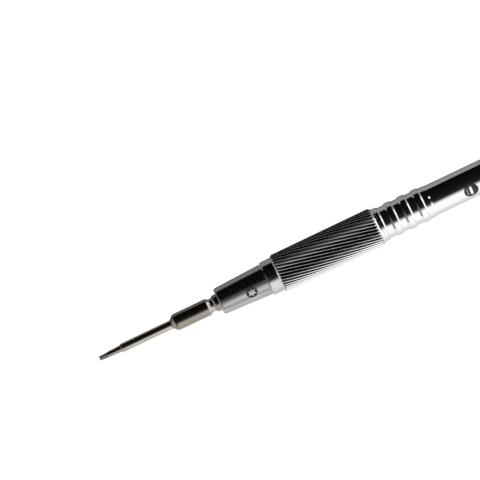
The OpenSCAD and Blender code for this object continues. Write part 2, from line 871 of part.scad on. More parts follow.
module swivel_screw() laid() color(steel)
    difference() {
        turned([
            [0, flange_end - screw_thread_length],
            [screw_thread_r, flange_end - screw_thread_length],
            [screw_thread_r, flange_end],
            [shoulder_r, flange_end],
            [shoulder_r, head_seat + seat_gap],
            [screw_head_r, head_seat + seat_gap],
            [screw_head_r, head_seat + seat_gap + screw_head_length],
            [0, head_seat + seat_gap + screw_head_length]
        ]);
        translate([-screw_head_r - overrun, -screw_slot_w / 2,
            head_seat + seat_gap + screw_head_length - screw_slot_depth])
            cube([2 * (screw_head_r + overrun), screw_slot_w, screw_slot_depth + overrun]);
    }

module swivel_cap() laid() color(bright_chrome) {
    groove_z = cap_start + cap_groove_from_front;
    difference() {
        turned(concat(
            [
                [shoulder_r + running_gap, cap_start],
                [cap_front_r, cap_start],
                [cap_r, cap_start + cap_flare],
                [cap_r, groove_z],
                [cap_r - edge / 2, groove_z + edge / 2],
                [cap_r, groove_z + edge]
            ],
            arc([cap_r - cap_round, cap_end - cap_round], cap_round, 0, 90),
            [
                [disc_r + running_gap, cap_end],
                [disc_r + running_gap, disc_seat],
                [screw_head_r + 2 * seat_gap, disc_seat],
                [screw_head_r + 2 * seat_gap, head_seat],
                [shoulder_r + running_gap, head_seat]
            ]
        ));
        race_cut();
    }
}

module cap_disc() laid() color(satin_chrome) {
    top = disc_seat + disc_t;
    turned(concat(
        [
            [0, disc_seat],
            [disc_r, disc_seat],
            [disc_r, top - edge / 2],
            [disc_r - edge / 2, top]
        ],
        [for (p = dish_shares) [disc_r * p[0], top - disc_dish * p[1]]]
    ));
}

star_bit();
nose_cone();
star_mark();
collet();
collet_spring();
chuck_body();
grip_sleeve();
barrel();
flat_mark();
bit_sleeve();
spare_bit();
magazine_spring();
clip_collar();
clip_arm();
clip_pin();
clip_spring();
tail_plug();
tail_o_ring();
swivel_balls();
ball_cage();
swivel_screw();
swivel_cap();
cap_disc();
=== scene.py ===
"""Pocket screwdriver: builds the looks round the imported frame. Sizes here are in millimetres."""

import math

import bmesh
import bpy
from mathutils import Matrix, Vector


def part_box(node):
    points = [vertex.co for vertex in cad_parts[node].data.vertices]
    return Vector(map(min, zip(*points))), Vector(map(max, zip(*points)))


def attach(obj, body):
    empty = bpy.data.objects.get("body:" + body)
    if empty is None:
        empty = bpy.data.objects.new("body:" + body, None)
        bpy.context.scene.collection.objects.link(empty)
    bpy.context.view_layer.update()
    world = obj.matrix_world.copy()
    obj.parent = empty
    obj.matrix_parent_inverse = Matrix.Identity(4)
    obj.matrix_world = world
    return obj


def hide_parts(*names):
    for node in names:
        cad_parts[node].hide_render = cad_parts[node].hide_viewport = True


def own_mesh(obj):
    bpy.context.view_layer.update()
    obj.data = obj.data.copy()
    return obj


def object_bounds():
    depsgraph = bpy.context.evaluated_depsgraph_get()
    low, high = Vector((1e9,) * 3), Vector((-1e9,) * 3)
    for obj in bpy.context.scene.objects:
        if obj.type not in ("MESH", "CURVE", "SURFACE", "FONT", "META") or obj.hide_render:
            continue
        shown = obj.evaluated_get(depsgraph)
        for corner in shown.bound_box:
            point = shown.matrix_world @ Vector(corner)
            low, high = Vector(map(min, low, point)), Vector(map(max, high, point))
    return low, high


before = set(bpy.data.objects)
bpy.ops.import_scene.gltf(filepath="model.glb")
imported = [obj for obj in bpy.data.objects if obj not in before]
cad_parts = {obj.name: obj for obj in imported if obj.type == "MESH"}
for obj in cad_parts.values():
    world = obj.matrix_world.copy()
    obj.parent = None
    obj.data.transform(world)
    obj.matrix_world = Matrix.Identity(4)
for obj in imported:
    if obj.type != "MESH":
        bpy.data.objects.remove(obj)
cad_box = [list(corner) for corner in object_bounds()]

MM = 0.001
SEGMENTS = 256
SMOOTH_ANGLE = math.radians(32)
# Degrees for each step of a fillet, and the share of a side that a fillet may take
FILLET_STEP = 12
FILLET_ROOM_SHARE = 0.48


# Places taken from the frame


def span(node):
    """The first and last place of a node along the tool, in millimetres."""
    low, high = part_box(node)
    return low.x / MM, high.x / MM


def radius_of(node):
    """The largest radius of a turned node, in millimetres."""
    low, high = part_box(node)
    return (high.z - low.z) / 2 / MM


bit_start, bit_end = span("star_bit")
bit_r = radius_of("star_bit")
nose_start, nose_end = span("nose_cone")
nose_rear_r = radius_of("nose_cone")
body_start, body_end = span("chuck_body")
ring_r = radius_of("chuck_body")
grip_start, grip_end = span("grip_sleeve")
grip_r = radius_of("grip_sleeve")
barrel_start, barrel_end = span("barrel")
collar_start, collar_end = span("clip_collar")
plug_start, plug_end = span("tail_plug")
flange_r = radius_of("tail_plug")
cap_start, cap_end = span("swivel_cap")
cap_r = radius_of("swivel_cap")
disc_start, disc_end = span("cap_disc")
disc_r = radius_of("cap_disc")
star_low, star_high = span("star_mark")
flat_low, flat_high = span("flat_mark")
pin_x = sum(span("clip_pin")) / 2
arm_low, arm_high = span("clip_arm")
balls_low, balls_high = span("swivel_balls")
balls_x = (balls_low + balls_high) / 2
ball_r = (balls_high - balls_low) / 2
race_r = radius_of("swivel_balls") - ball_r


# Named sizes that the boxes don't give

# Clearance of a running fit, the fillets of a crisp and of an eased edge, and a small margin
fit = 0.03
crisp = 0.05
eased = 0.1
margin = 0.02

# Bores round the shank, the thin tips and the collet, and the tube inside the grip
bit_bore_r = 2.05
tip_bore_r = 1.35
collet_bore_r = 2.5
tube_r = 3.3

# Nose
seam = 0.15
nose_front_r = 3.22
nose_round = 0.65
nose_lip = 1
nose_thread_r = 3.03
nose_thread_from_front = 5.9
cone_from_front = 1.1
cone_length = 3.0
cone_front_r = 2.32
cone_rear_r = 2.82

# Bit
blade_length = 18.6
tip_length = 5.5
tip_end_r = 0.575
tip_root_r = 0.8
tip_step = 0.15
tip_edge = 0.06
blade_r = 1.03
shoulder_length = 1.0
shoulder_lead = 0.2
shoulder_round = 0.6
shoulder_rim = 0.3
shoulder_rim_drop = 0.1
shoulder_tail = 0.12
groove_from_shoulder = 8.5
groove_width = 0.65
groove_depth = 0.42
groove_flank = 0.36
groove_floor_end = 1
star_cut = 2.4
star_fade = 0.5
star_depth_share = 0.3
cross_wing = 0.16
cross_taper = 0.12

# Chuck body: the web between bit and store, and the seat of the collet's spring
web_gap = 1
web_length = 2.2
spring_seat_depth = 0.55
seat_gap = 0.05
seam_depth = 0.12
seam_from_nose = 0.04
seam_from_ring = 0.03

# Grip
grip_front = grip_start - 0.25
grip_land = 0.38
grip_end_r = ring_r + margin
grip_rear_slope = 0.72
grip_corner = 0.02
grip_step = 0.03
bright_front = 0.22
bright_rear = 0.42
flute_count = 36
flute_depth = 0.31
flute_lean = math.radians(13.6)

# Barrel and rings
plain_r = 3.72
hollow_r = plain_r + 0.12
bore_r = 3.0
ring_pitch = 3.46
ring_height = 0.25
ring_count = 4
ring_lead = 0.25
ring_foot = 0.05
ring_rise = 0.36
ring_top_end = 1.56
ring_foot_end = 1.9
taper_lead = 0.3
taper_length = 0.5

# Signs
sign_proud = 0.014
sign_sink = 0.06
star_turn = math.radians(202)
star_tip_share = 0.9
star_dent_share = 0.42
flat_turn = math.radians(210)
flat_shift = 0.12
flat_rim_w = 0.32
bar_proud = 0.012
face_proud_share = 0.4
bar_base_share = 0.3
face_hole_r = 0.02
bar_hole_r = 0.01

# Clip and collar
clip_turn = math.radians(300)
pin_rho = 5.0
pin_r = 0.45
arm_thick = 0.6
arm_half_w = 1.7
arm_edge = 0.13
arm_round = 0.7
arm_crown = 0.15
lip_share = 0.72
pad_from_lip = 2.6
pad_gap = 0.04
dip_half_length = 5.5
notch_half_length = 1.6
knuckle_r = 0.75
knuckle_half_w = 1.05
ear_inner = 1.1
ear_outer = 1.8
ear_half_length = 1.4
ear_root = 3.5
collar_wall = 0.45
collar_chamfer = 0.3
key_half_w = 0.8
key_length = 0.8
key_gap = 0.05
key_sink = 0.1

# Plug
flange_length = 2.55
flange_chamfer = 0.3
flange_flutes = 24
flange_flute_depth = 0.12
flange_flute_r = 0.4
o_ring_from_end = 0.9
o_ring_groove = 1.05
o_ring_depth = 0.5
screw_hole_r = 0.73
screw_hole_depth = 3.55
wide_bore_length = 2.2
plug_floor = 4.9
race_groove_r = ball_r + margin

# Cap and disc
cap_neck = 1.4
cap_round = 1.1
cap_groove_from_front = 2.6
cap_groove_depth = 0.15
screw_neck_r = 1.03
screw_head_r = 1.9
screw_head_room = 1.75
disc_dish = 0.25
disc_rim = 0.25

# Threads; what is nearer the axis than inside_r is in a bore
nose_pitch = 0.5
nose_thread_depth = 0.12
tail_pitch = 0.75
tail_thread_depth = 0.16
thread_relief = 0.3
inside_r = 2.6


# Meshes


def finish_mesh(name, mesh, body, nodes, material):
    """Makes the object of a mesh, shades it, gives it its material, puts it under its body and hides the
    nodes it stands for.
    """
    mesh.validate()
    mesh.shade_smooth()
    mesh.set_sharp_from_angle(angle=SMOOTH_ANGLE)
    piece = bpy.data.objects.new(name, mesh)
    bpy.context.scene.collection.objects.link(piece)
    piece.data.materials.append(material)
    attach(piece, body)
    if nodes:
        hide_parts(*nodes)


def rounded(corners, support=0.03, closed=True):
    """A line of (x, r) points from corners (x, r, fillet), each fillet an arc.
    A point a little way along each straight keeps the shading of the straight flat."""
    points = []
    count = len(corners)
    for i, (x, r, fillet) in enumerate(corners):
        if fillet == 0 or not closed and i in (0, count - 1):
            points.append((x, r))
            continue
        here = Vector((x, r))
        before = Vector(corners[i - 1][:2])
        after = Vector(corners[(i + 1) % count][:2])
        a = (before - here).normalized()
        b = (after - here).normalized()
        turn = math.pi - a.angle(b)
        room = FILLET_ROOM_SHARE * min((before - here).length, (after - here).length)
        reach = min(fillet * math.tan(turn / 2), room)
        arc_r = reach / math.tan(turn / 2)
        centre = here + (a + b).normalized() * arc_r / math.cos(turn / 2)
        first = here + a * reach
        last = here + b * reach
        steps = max(2, round(math.degrees(turn) / FILLET_STEP))
        extra = min(support, 0.2 * room)
        points.append(tuple(first + a * extra))
        start = first - centre
        end = last - centre
        for k in range(steps + 1):
            t = k / steps
            mixed = start * math.sin((1 - t) * turn) + end * math.sin(t * turn)
            points.append(tuple(centre + mixed / math.sin(turn)))
        points.append(tuple(last + b * extra))
    return points


def spread(outline, step, closed=True):
    """The outline with long straights cut into pieces no longer than step."""
    points = []
    count = len(outline)
    for i in range(count if closed else count - 1):
        x, r = outline[i]
        nx, nr = outline[(i + 1) % count]
        pieces = max(1, math.ceil(math.hypot(nx - x, nr - r) / step))
        for k in range(pieces):
            points.append((x + (nx - x) * k / pieces, r + (nr - r) * k / pieces))
    if not closed:
        points.append(outline[-1])
    return points


def spread_thread(outline, step, low, high, coarse=2):
    """The outline cut finely along the outer wall between two places, and coarsely elsewhere."""
    points = []
    for (x, r), (nx, nr) in zip(outline, outline[1:]):
        fine = min(r, nr) > inside_r and max(x, nx) > low and min(x, nx) < high
        pieces = max(1, math.ceil(math.hypot(nx - x, nr - r) / (step if fine else coarse)))
        for k in range(pieces):
            points.append((x + (nx - x) * k / pieces, r + (nr - r) * k / pieces))
    points.append(outline[-1])
    return points


def wrap_mesh(name, rows, columns, place, closed_rows=True):
    """A grid mesh whose columns go once round the axis; place(row, column) gives each point."""
    verts = [Vector(place(i, j)) * MM for i in range(rows) for j in range(columns)]
    faces = []
    for i in range(rows if closed_rows else rows - 1):
        below = i * columns
        above = ((i + 1) % rows) * columns
        for j in range(columns):
            k = (j + 1) % columns
            faces.append((below + j, below + k, above + k, above + j))
    mesh = bpy.data.meshes.new(name)
    mesh.from_pydata(verts, [], faces)
    return mesh


def outward(mesh):
    """Turns every face of a closed mesh outward and joins points that coincide."""
    shape = bmesh.new()
    shape.from_mesh(mesh)
    bmesh.ops.remove_doubles(shape, verts=shape.verts, dist=1e-8)
    bmesh.ops.recalc_face_normals(shape, faces=shape.faces)
    shape.to_mesh(mesh)
    shape.free()
    return mesh


def round_axis(x, r, angle):
    """A point at radius r and the CAD's turning angle round the tool."""
    return x, r * math.sin(angle), -r * math.cos(angle)


def turned(name, outline, segments=SEGMENTS, shape=None, closed=True):
    """A lathe mesh from an outline of (x, r) points. shape(x, r, angle) may change r.
    An outline that isn't closed starts and ends on the axis."""
    def place(i, j):
        x, r = outline[i]
        angle = 2 * math.pi * j / segments
        return round_axis(x, shape(x, r, angle) if shape else r, angle)
    return outward(wrap_mesh(name, len(outline), segments, place, closed))


# Materials


# Noise scales of smears, of the plating's grain, and of turning lines round the tool
SMEAR_SCALE = 260
GRAIN_SCALE = 9000
ROUND_SCALE = 60
# How deep in a flute the painted shade starts and where it is full, as shares of the flute's depth
FLUTE_SHADE_SHARES = (0.32, 0.52)


def map_range(tree, value, low, high, to_low=0, to_high=1):
    """A node that moves the value from one range to another, and keeps it inside."""
    node = tree.nodes.new("ShaderNodeMapRange")
    numbers = {"From Min": low, "From Max": high, "To Min": to_low, "To Max": to_high}
    for name, number in numbers.items():
        node.inputs[name].default_value = number
    tree.links.new(value, node.inputs["Value"])
    return node


class Nodes:
    """Short words for the nodes of one material."""

    def __init__(self, name):
        self.material = bpy.data.materials.new(name)
        self.material.use_nodes = True
        self.tree = self.material.node_tree
        self.shader = self.tree.nodes["Principled BSDF"]
        self.place = self.tree.nodes.new("ShaderNodeTexCoord").outputs["Object"]

    def link(self, source, target):
        self.tree.links.new(source, target)

    def stretched(self, x, y, z):
        """The place on the piece, with each direction scaled by its own factor."""
        node = self.tree.nodes.new("ShaderNodeMapping")
        node.inputs["Scale"].default_value = (x, y, z)
        self.link(self.place, node.inputs["Vector"])
        return node.outputs["Vector"]

    def noise(self, vector, scale, detail=3, rough=0.55):
        node = self.tree.nodes.new("ShaderNodeTexNoise")
        node.inputs["Scale"].default_value = scale
        node.inputs["Detail"].default_value = detail
        node.inputs["Roughness"].default_value = rough
        self.link(vector, node.inputs["Vector"])
        return node.outputs["Fac"]

    def ranged(self, value, low, high, to_low=0, to_high=1):
        return map_range(self.tree, value, low, high, to_low, to_high).outputs["Result"]

    def math(self, operation, a, b):
        node = self.tree.nodes.new("ShaderNodeMath")
        node.operation = operation
        for socket, value in zip(node.inputs, (a, b)):
            if isinstance(value, (int, float)):
                socket.default_value = value
            else:
                self.link(value, socket)
        return node.outputs["Value"]

    def length(self, vector):
        node = self.tree.nodes.new("ShaderNodeVectorMath")
        node.operation = "LENGTH"
        self.link(vector, node.inputs[0])
        return node.outputs["Value"]

    def mixed(self, share, first, second):
        """A colour between two, by the share."""
        node = self.tree.nodes.new("ShaderNodeMix")
        node.data_type = "RGBA"
        self.link(share, node.inputs["Factor"])
        node.inputs[6].default_value = (*first, 1)
        node.inputs[7].default_value = (*second, 1)
        return node.outputs[2]

    def bump(self, height, depth):
        """Turns a height from 0 to 1 into relief of the given depth, in millimetres."""
        node = self.tree.nodes.new("ShaderNodeBump")
        node.inputs["Strength"].default_value = 1
        node.inputs["Distance"].default_value = depth * MM
        self.link(height, node.inputs["Height"])
        self.link(node.outputs["Normal"], self.shader.inputs["Normal"])

    def set(self, **values):
        """Sets constant sockets; an underscore in a name stands for a space."""
        for name, value in values.items():
            self.shader.inputs[name.replace("_", " ")].default_value = value


def metal(name, colour, worn, rough, rough_spread, line_depth, line_scale, speck=0.0):
    """A turned metal: fine lines round the tool, faint smears and a little uneven polish."""
    m = Nodes(name)
    m.set(Metallic=1.0)
    lines = m.noise(m.stretched(line_scale, ROUND_SCALE, ROUND_SCALE), 1, detail=4, rough=0.6)
    smears = m.noise(m.place, SMEAR_SCALE)
    grain = m.noise(m.place, GRAIN_SCALE, detail=2)
    m.link(m.mixed(m.ranged(smears, 0.35, 0.75), colour, worn), m.shader.inputs["Base Color"])
    uneven = m.math("ADD", m.ranged(smears, 0.3, 0.7, rough, rough + rough_spread),
                    m.ranged(lines, 0.3, 0.7, 0, rough_spread * 0.5))
    m.link(uneven, m.shader.inputs["Roughness"])
    height = m.math("ADD", lines, m.math("MULTIPLY", grain, speck))
    m.bump(height, line_depth)
    return m.material


def fluted_metal(name, crest, valley):
    """Chrome with painted shade in its flutes: bright along the crests, going to the dark valley colour
    deeper in each flute.
    """
    m = Nodes(name)
    m.set(Metallic=1.0)
    top, bottom = ((grip_r - share * flute_depth) * MM for share in FLUTE_SHADE_SHARES)
    # Painted shade: the deeper a point lies in a flute, the more of the dark valley colour it gets
    valley_shade = m.ranged(m.length(m.stretched(0, 1, 1)), top, bottom)
    m.link(m.mixed(valley_shade, crest, valley), m.shader.inputs["Base Color"])
    smears = m.noise(m.place, SMEAR_SCALE)
    m.link(m.ranged(smears, 0.3, 0.7, 0.05, 0.09), m.shader.inputs["Roughness"])
    m.bump(m.noise(m.place, 5000, detail=2), 0.0001)
    return m.material


def plain(name, colour, darker, rough, depth, scale, **sockets):
    """A material that isn't metal: a mottled colour with a fine grain."""
    m = Nodes(name)
    m.set(**sockets)
    mottle = m.noise(m.place, scale * 0.1, detail=4)
    grain = m.noise(m.place, scale)
    m.link(m.mixed(m.ranged(mottle, 0.3, 0.7), colour, darker), m.shader.inputs["Base Color"])
    m.link(m.ranged(grain, 0.3, 0.7, rough, rough + 0.12), m.shader.inputs["Roughness"])
    m.bump(grain, depth)
    return m.material


bright = metal("polished_chrome", (0.88, 0.88, 0.89), (0.84, 0.84, 0.85), 0.035, 0.03, 0.00004, 9000)
satin = metal("satin_chrome_plate", (0.55, 0.55, 0.56), (0.49, 0.49, 0.5), 0.15, 0.05, 0.0006, 14000, 0.5)
ring_chrome = metal("ring_chrome", (0.66, 0.66, 0.67), (0.6, 0.6, 0.61), 0.09, 0.04, 0.0003, 14000, 0.5)
# This nickel and the brighter copy after it are one plating; the brighter copy is painted light, for the
# blades and round the bit's groove
nickel = metal("nickel_plate", (0.38, 0.335, 0.285), (0.33, 0.29, 0.24), 0.15, 0.06, 0.0005, 12000, 0.4)
brightened_nickel = metal("brightened_nickel", (0.58, 0.545, 0.5), (0.5, 0.465, 0.42), 0.13, 0.06, 0.0004, 12000, 0.4)
steel = metal("bare_steel", (0.56, 0.56, 0.57), (0.48, 0.47, 0.46), 0.22, 0.1, 0.0006, 12000, 0.4)
# A darker copy of the chrome: painted shade for the thin bar of the flat sign
shaded_bar_chrome = metal("shaded_chrome_copy", (0.3, 0.31, 0.28), (0.2, 0.21, 0.19), 0.3, 0.1, 0.0006, 9000, 0.5)
brass = metal("stamped_brass", (0.78, 0.6, 0.3), (0.66, 0.48, 0.22), 0.25, 0.1, 0.0006, 9000, 0.6)
# The grip's second colour is painted shade for the valleys of the flutes
grip_metal = fluted_metal("grip_chrome", (0.93, 0.93, 0.94), (0.18, 0.185, 0.185))
enamel = plain("black_enamel", (0.022, 0.021, 0.023), (0.032, 0.03, 0.031), 0.2, 0.001, 3000,
               Specular_IOR_Level=0.25)
dark_enamel = plain("dark_enamel", (0.03, 0.026, 0.023), (0.055, 0.048, 0.042), 0.35, 0.002, 2500,
                    Specular_IOR_Level=0.3)
nylon = plain("natural_nylon", (0.82, 0.81, 0.77), (0.76, 0.74, 0.68), 0.42, 0.002, 2500,
              Subsurface_Weight=0.15)
rubber = plain("black_rubber", (0.02, 0.02, 0.02), (0.035, 0.035, 0.034), 0.6, 0.004, 6000)


# Bit


def bit_outline():
    """The outer line of the double-ended bit, from the axis at one end to the axis at the other.
    The shoulder in front is fuller; the one behind is the plain cone that seats in the chuck body."""
    shank_start = bit_start + blade_length + shoulder_length
    groove = shank_start + groove_from_shoulder
    groove_r = bit_r - groove_depth
    blade = [
        (bit_start, 0, 0),
        (bit_start, tip_end_r, tip_edge),
        (bit_start + tip_length, tip_root_r, crisp),
        (bit_start + tip_length + tip_step, blade_r, tip_edge),
    ]
    full_shoulder = [
        (bit_start + blade_length - shoulder_lead, blade_r, shoulder_round),
        (shank_start - shoulder_rim, bit_r - shoulder_rim_drop, 0.06),
        (shank_start + shoulder_tail, bit_r, 0.3),
    ]
    plain_shoulder = [
        (bit_start + blade_length, blade_r, eased),
        (shank_start, bit_r, eased),
    ]
    shank = [
        (groove - groove_flank, bit_r, 0.04),
        (groove + groove_flank, groove_r, 0.08),
        (groove + groove_floor_end, groove_r, 0.08),
        (groove + groove_width + groove_depth * 2, bit_r, 0.06),
    ]
    rear_half = blade + plain_shoulder + shank
    back = [(bit_end - x, r, f) for x, r, f in reversed(rear_half)]
    return rounded(blade + full_shoulder + shank + back, closed=False)


def tip_shape(x, r, angle):
    """Cuts the six lobes into the front tip and the cross into the rear tip."""
    from_back = bit_end - x
    if x < star_cut and r > 0:
        fade = min(1, (star_cut - x) / star_fade)
        lobe = (0.5 - 0.5 * math.cos(6 * angle)) ** 1.5
        return r * (1 - star_depth_share * fade * lobe)
    if from_back < star_cut and r > 0:
        half = cross_wing + cross_taper * from_back
        near = abs((angle + math.pi / 4) % (math.pi / 2) - math.pi / 4)
        return min(r, half / max(1e-6, math.sin(near)))
    return r


def make_bit():
    mesh = turned("star_bit_body", spread(bit_outline(), 0.4, False), shape=tip_shape, closed=False)
    mesh.materials.append(brightened_nickel)
    groove = bit_start + blade_length + shoulder_length + groove_from_shoulder
    groove_front = groove - 0.32
    groove_back = groove + 1.3
    blade_end = blade_length - 0.1
    # Painted light: the blades and the band round the groove get the brighter copy of the nickel
    for face in mesh.polygons:
        from_end = min(face.center.x / MM, bit_end - face.center.x / MM)
        brightened = from_end < blade_end or groove_front < from_end < groove_back
        face.material_index = 0 if brightened else 1
    finish_mesh("double_ended_bit", mesh, "bit", ["star_bit"], nickel)


# Nose


def make_nose():
    """The nose: a bore for the bit, then the cone that squeezes the collet, then the thread."""
    thread_start = nose_start + nose_thread_from_front
    cone_start = nose_start + cone_from_front
    outline = rounded([
        (nose_start, bit_bore_r, 0.08),
        (nose_start, nose_front_r, nose_round),
        (nose_end, nose_rear_r, crisp),
        (nose_end, nose_thread_r, crisp),
        (thread_start, nose_thread_r, 0),
        (thread_start, cone_rear_r, 0),
        (cone_start + cone_length, cone_rear_r, 0),
        (cone_start, cone_front_r, 0),
        (nose_start + nose_lip, bit_bore_r, 0.02),
    ])
    mesh = turned("nose_shell", spread(outline, 1.2))
    finish_mesh("nose_cone_turned", mesh, "nose", ["nose_cone"], satin)


def nose_surface(x):
    return nose_front_r + (nose_rear_r - nose_front_r) * (x - nose_start) / (nose_end - nose_start)


def wrapped(x, side, surface, turn, height):
    """A point of a sign: along the tool, across it, and above the surface."""
    r = surface(x)
    angle = turn + side / r
    return round_axis(x, r + height, angle)


def sign_plate(name, centre, surface, turn, inner, outer, base=-sign_sink, top=sign_proud, columns=192):
    """A thin plate wrapped on the tool between an inner and an outer line, both given by angle."""
    edge = 0.05
    rise = top - max(base, 0)
    rows = [(0, base), (0, top - 0.7 * rise), (0.3 * edge, top - 0.2 * rise), (edge, top)]
    inside = [(inner, d, h) for d, h in rows]
    middle = [(None, k / 10, top) for k in range(1, 10)]
    outside = [(outer, -d, h) for d, h in reversed(rows)]
    lines = inside + middle + outside

    def place(i, j):
        a = 2 * math.pi * j / columns
        low = inner(a)
        high = outer(a)
        line, d, h = lines[i]
        if line is None:
            rho = low + edge + (high - low - 2 * edge) * d
        else:
            rho = line(a) + d
        return wrapped(centre + rho * math.cos(a), rho * math.sin(a), surface, turn, h)

    return outward(wrap_mesh(name, len(lines), columns, place))


def steady(value):
    """A line at the same distance from the middle all round."""
    return lambda a: value


def box_line(half_along, half_across, power=7):
    """The line of a rectangle with rounded corners, as the distance from its middle."""
    def line(a):
        along = abs(math.cos(a)) / half_along
        across = abs(math.sin(a)) / half_across
        return (along ** power + across ** power) ** (-1 / power)
    return line


def make_star_mark():
    centre = (star_low + star_high) / 2
    outer_r = (star_high - star_low) / 2

    tip = star_tip_share * outer_r
    dent = star_dent_share * outer_r
    half_step = math.pi / 6
    across = dent * math.sin(half_step)
    along = dent * math.cos(half_step) - tip

    def star_line(a):
        """The six-pointed star with one point across the tool, as the distance from its middle."""
        near = abs(a % (2 * half_step) - half_step)
        return tip * across / (math.cos(near) * across - math.sin(near) * along)

    mesh = sign_plate("star_plate", centre, nose_surface, star_turn, star_line, steady(outer_r))
    finish_mesh("star_sign_enamel", mesh, "nose", ["star_mark"], enamel)


# Chuck body


# The ring's rounded front: distance behind the seam, depth below the ring, and fillet
RING_FRONT = ((0.05, 0.12, 0.04), (0.22, 0.015, 0.08), (0.9, 0, 0.4))


def helix(start, end, pitch, depth):
    """A shape function that cuts a round-bottomed thread between two places."""
    def shape(x, r, angle):
        if not start < x < end or r < inside_r:
            return r
        fade = min(1, (x - start) / pitch, (end - x) / pitch)
        wave = 0.5 + 0.5 * math.cos(2 * math.pi * (x - start) / pitch + angle)
        return r - depth * fade * wave ** 1.3
    return shape


def make_body():
    """The tube inside nose, grip and barrel, with the ring that shows between nose and grip."""
    stub_r = nose_thread_r - fit
    tail_r = bore_r - fit
    shank_seat = bit_end - blade_length - shoulder_length + seat_gap
    spring_seat = shank_seat - spring_seat_depth
    web_start = bit_end + web_gap
    web_end = web_start + web_length
    seam_start = nose_end + seam_from_nose
    seam_end = nose_end + seam
    seam_r = nose_rear_r - seam_depth
    outline = rounded([
        (web_start, 0, 0),
        (web_start, tip_bore_r, 0),
        (shank_seat + shoulder_length - seat_gap, tip_bore_r, 0),
        (shank_seat, bit_bore_r, 0),
        (spring_seat, bit_bore_r, 0),
        (spring_seat, collet_bore_r, 0),
        (body_start, collet_bore_r, crisp),
        (body_start, stub_r, 0.15),
        (seam_start, stub_r, 0),
        (seam_start, seam_r, 0.03),
        (seam_end - seam_from_ring, seam_r, 0),
        (seam_end - seam_from_ring, nose_rear_r - margin, 0.02),
        *((seam_end + back, ring_r - below, fillet) for back, below, fillet in RING_FRONT),
        (grip_front, ring_r, 0.04),
        (grip_front, tube_r, 0),
        (grip_end, tube_r, 0),
        (grip_end, tail_r, 0),
        (body_end, tail_r, eased),
        (body_end, tip_bore_r, 0),
        (web_end, tip_bore_r, 0),
        (web_end, 0, 0),
    ], closed=False)
    thread = helix(body_start + thread_relief, nose_end - thread_relief, nose_pitch, nose_thread_depth)
    line = spread_thread(outline, 0.08, body_start, nose_end)
    mesh = turned("body_shell", line, shape=thread, closed=False)
    finish_mesh("chuck_and_ring", mesh, "handle", ["chuck_body"], ring_chrome)


# Grip


END_ROWS = (0, 0.04, 0.1, 0.16, 0.22, 0.28, 0.34, 0.4, 0.46, 0.52, 0.58, 0.66, 0.75, 0.9)
MIDDLE_ROWS = 50
MIDDLE_FROM_END = 1.1
FLUTE_LINE = ((0, 0), (0.025, 0.01), (0.05, 0.06), (0.15, 0.325), (0.27, 0.64), (0.39, 0.955),
              (0.42, 1), (0.45, 0.985), (0.55, 0.735), (0.65, 0.495), (0.74, 0.276), (0.81, 0.16),
              (0.87, 0.075), (0.92, 0.03), (0.96, 0.01))


def make_grip():
    """The columns of the mesh follow the leaning flutes, so that their lines stay even."""
    length = grip_end - grip_front
    turn_per_mm = math.tan(flute_lean) / grip_r
    land = length - grip_land
    first = MIDDLE_FROM_END
    middle = [first + (land - 2 * first) * k / MIDDLE_ROWS for k in range(MIDDLE_ROWS + 1)]
    places = [*END_ROWS, *middle, *(land - e for e in reversed(END_ROWS)), land + grip_step, length]
    rows = [(grip_front + p, grip_r) for p in places]
    rows += [(grip_end, tube_r + fit), (grip_front, tube_r + fit)]
    columns = [(n + share, depth) for n in range(flute_count) for share, depth in FLUTE_LINE]

    def place(i, j):
        x, r = rows[i]
        share, depth = columns[j]
        along = x - grip_front
        angle = 2 * math.pi * share / flute_count + along * turn_per_mm
        if r > ring_r:
            front = grip_end_r + along
            rear = grip_end_r + max(0, land - along) * grip_rear_slope
            r = soft_min(grip_r - flute_depth * depth, min(front, rear), grip_corner)
        return round_axis(x, r, angle)

    mesh = outward(wrap_mesh("grip_shell", len(rows), len(columns), place))
    mesh.materials.append(grip_metal)
    for face in mesh.polygons:
        x = face.center.x / MM
        # The fluted middle gets the chrome with painted shade in its valleys; the ends stay polished chrome
        fluted = grip_front + bright_front < x < grip_end - grip_land - bright_rear
        face.material_index = 0 if fluted else 1
    finish_mesh("fluted_grip", mesh, "handle", ["grip_sleeve"], bright)


def soft_min(a, b, width):
    """The smaller of two values, with a rounded corner where they meet."""
    gap = max(0, width - abs(a - b)) / width
    return min(a, b) - gap * gap * width / 4


# Barrel


def make_barrel():
    """The barrel, with the notch for the collar's key in its rear end."""
    top = hollow_r + ring_height
    corners = [(barrel_start, bore_r, crisp), (barrel_start, top, 0.03)]
    for n in range(ring_count):
        front = barrel_start + (n - ring_lead) * ring_pitch
        if n:
            corners += [(front - ring_foot, hollow_r, 0.2), (front + ring_rise, top, 0.15)]
        corners += [(front + ring_top_end, top, 0.06), (front + ring_foot_end, hollow_r, 0.22)]
    taper_start = barrel_start + (ring_count - ring_lead) * ring_pitch - taper_lead
    corners += [
        (taper_start, hollow_r, 0.3),
        (taper_start + taper_length, plain_r, 0.8),
        (barrel_end, plain_r, 0.12),
        (barrel_end, bore_r, eased),
    ]
    mesh = turned("barrel_shell", spread(rounded(corners), 3))
    key_turn = clip_turn - math.pi
    rim_length = 0.4
    for point in mesh.vertices:
        x, y, z = point.co / MM
        across = y * math.cos(key_turn) + z * math.sin(key_turn)
        toward = y * math.sin(key_turn) - z * math.cos(key_turn)
        if x > barrel_end - rim_length and toward > 0 and abs(across) < key_half_w + key_gap:
            point.co.x -= (key_length + key_gap) * MM
    finish_mesh("ringed_barrel", mesh, "handle", ["barrel"], bright)


def barrel_surface(x):
    return plain_r


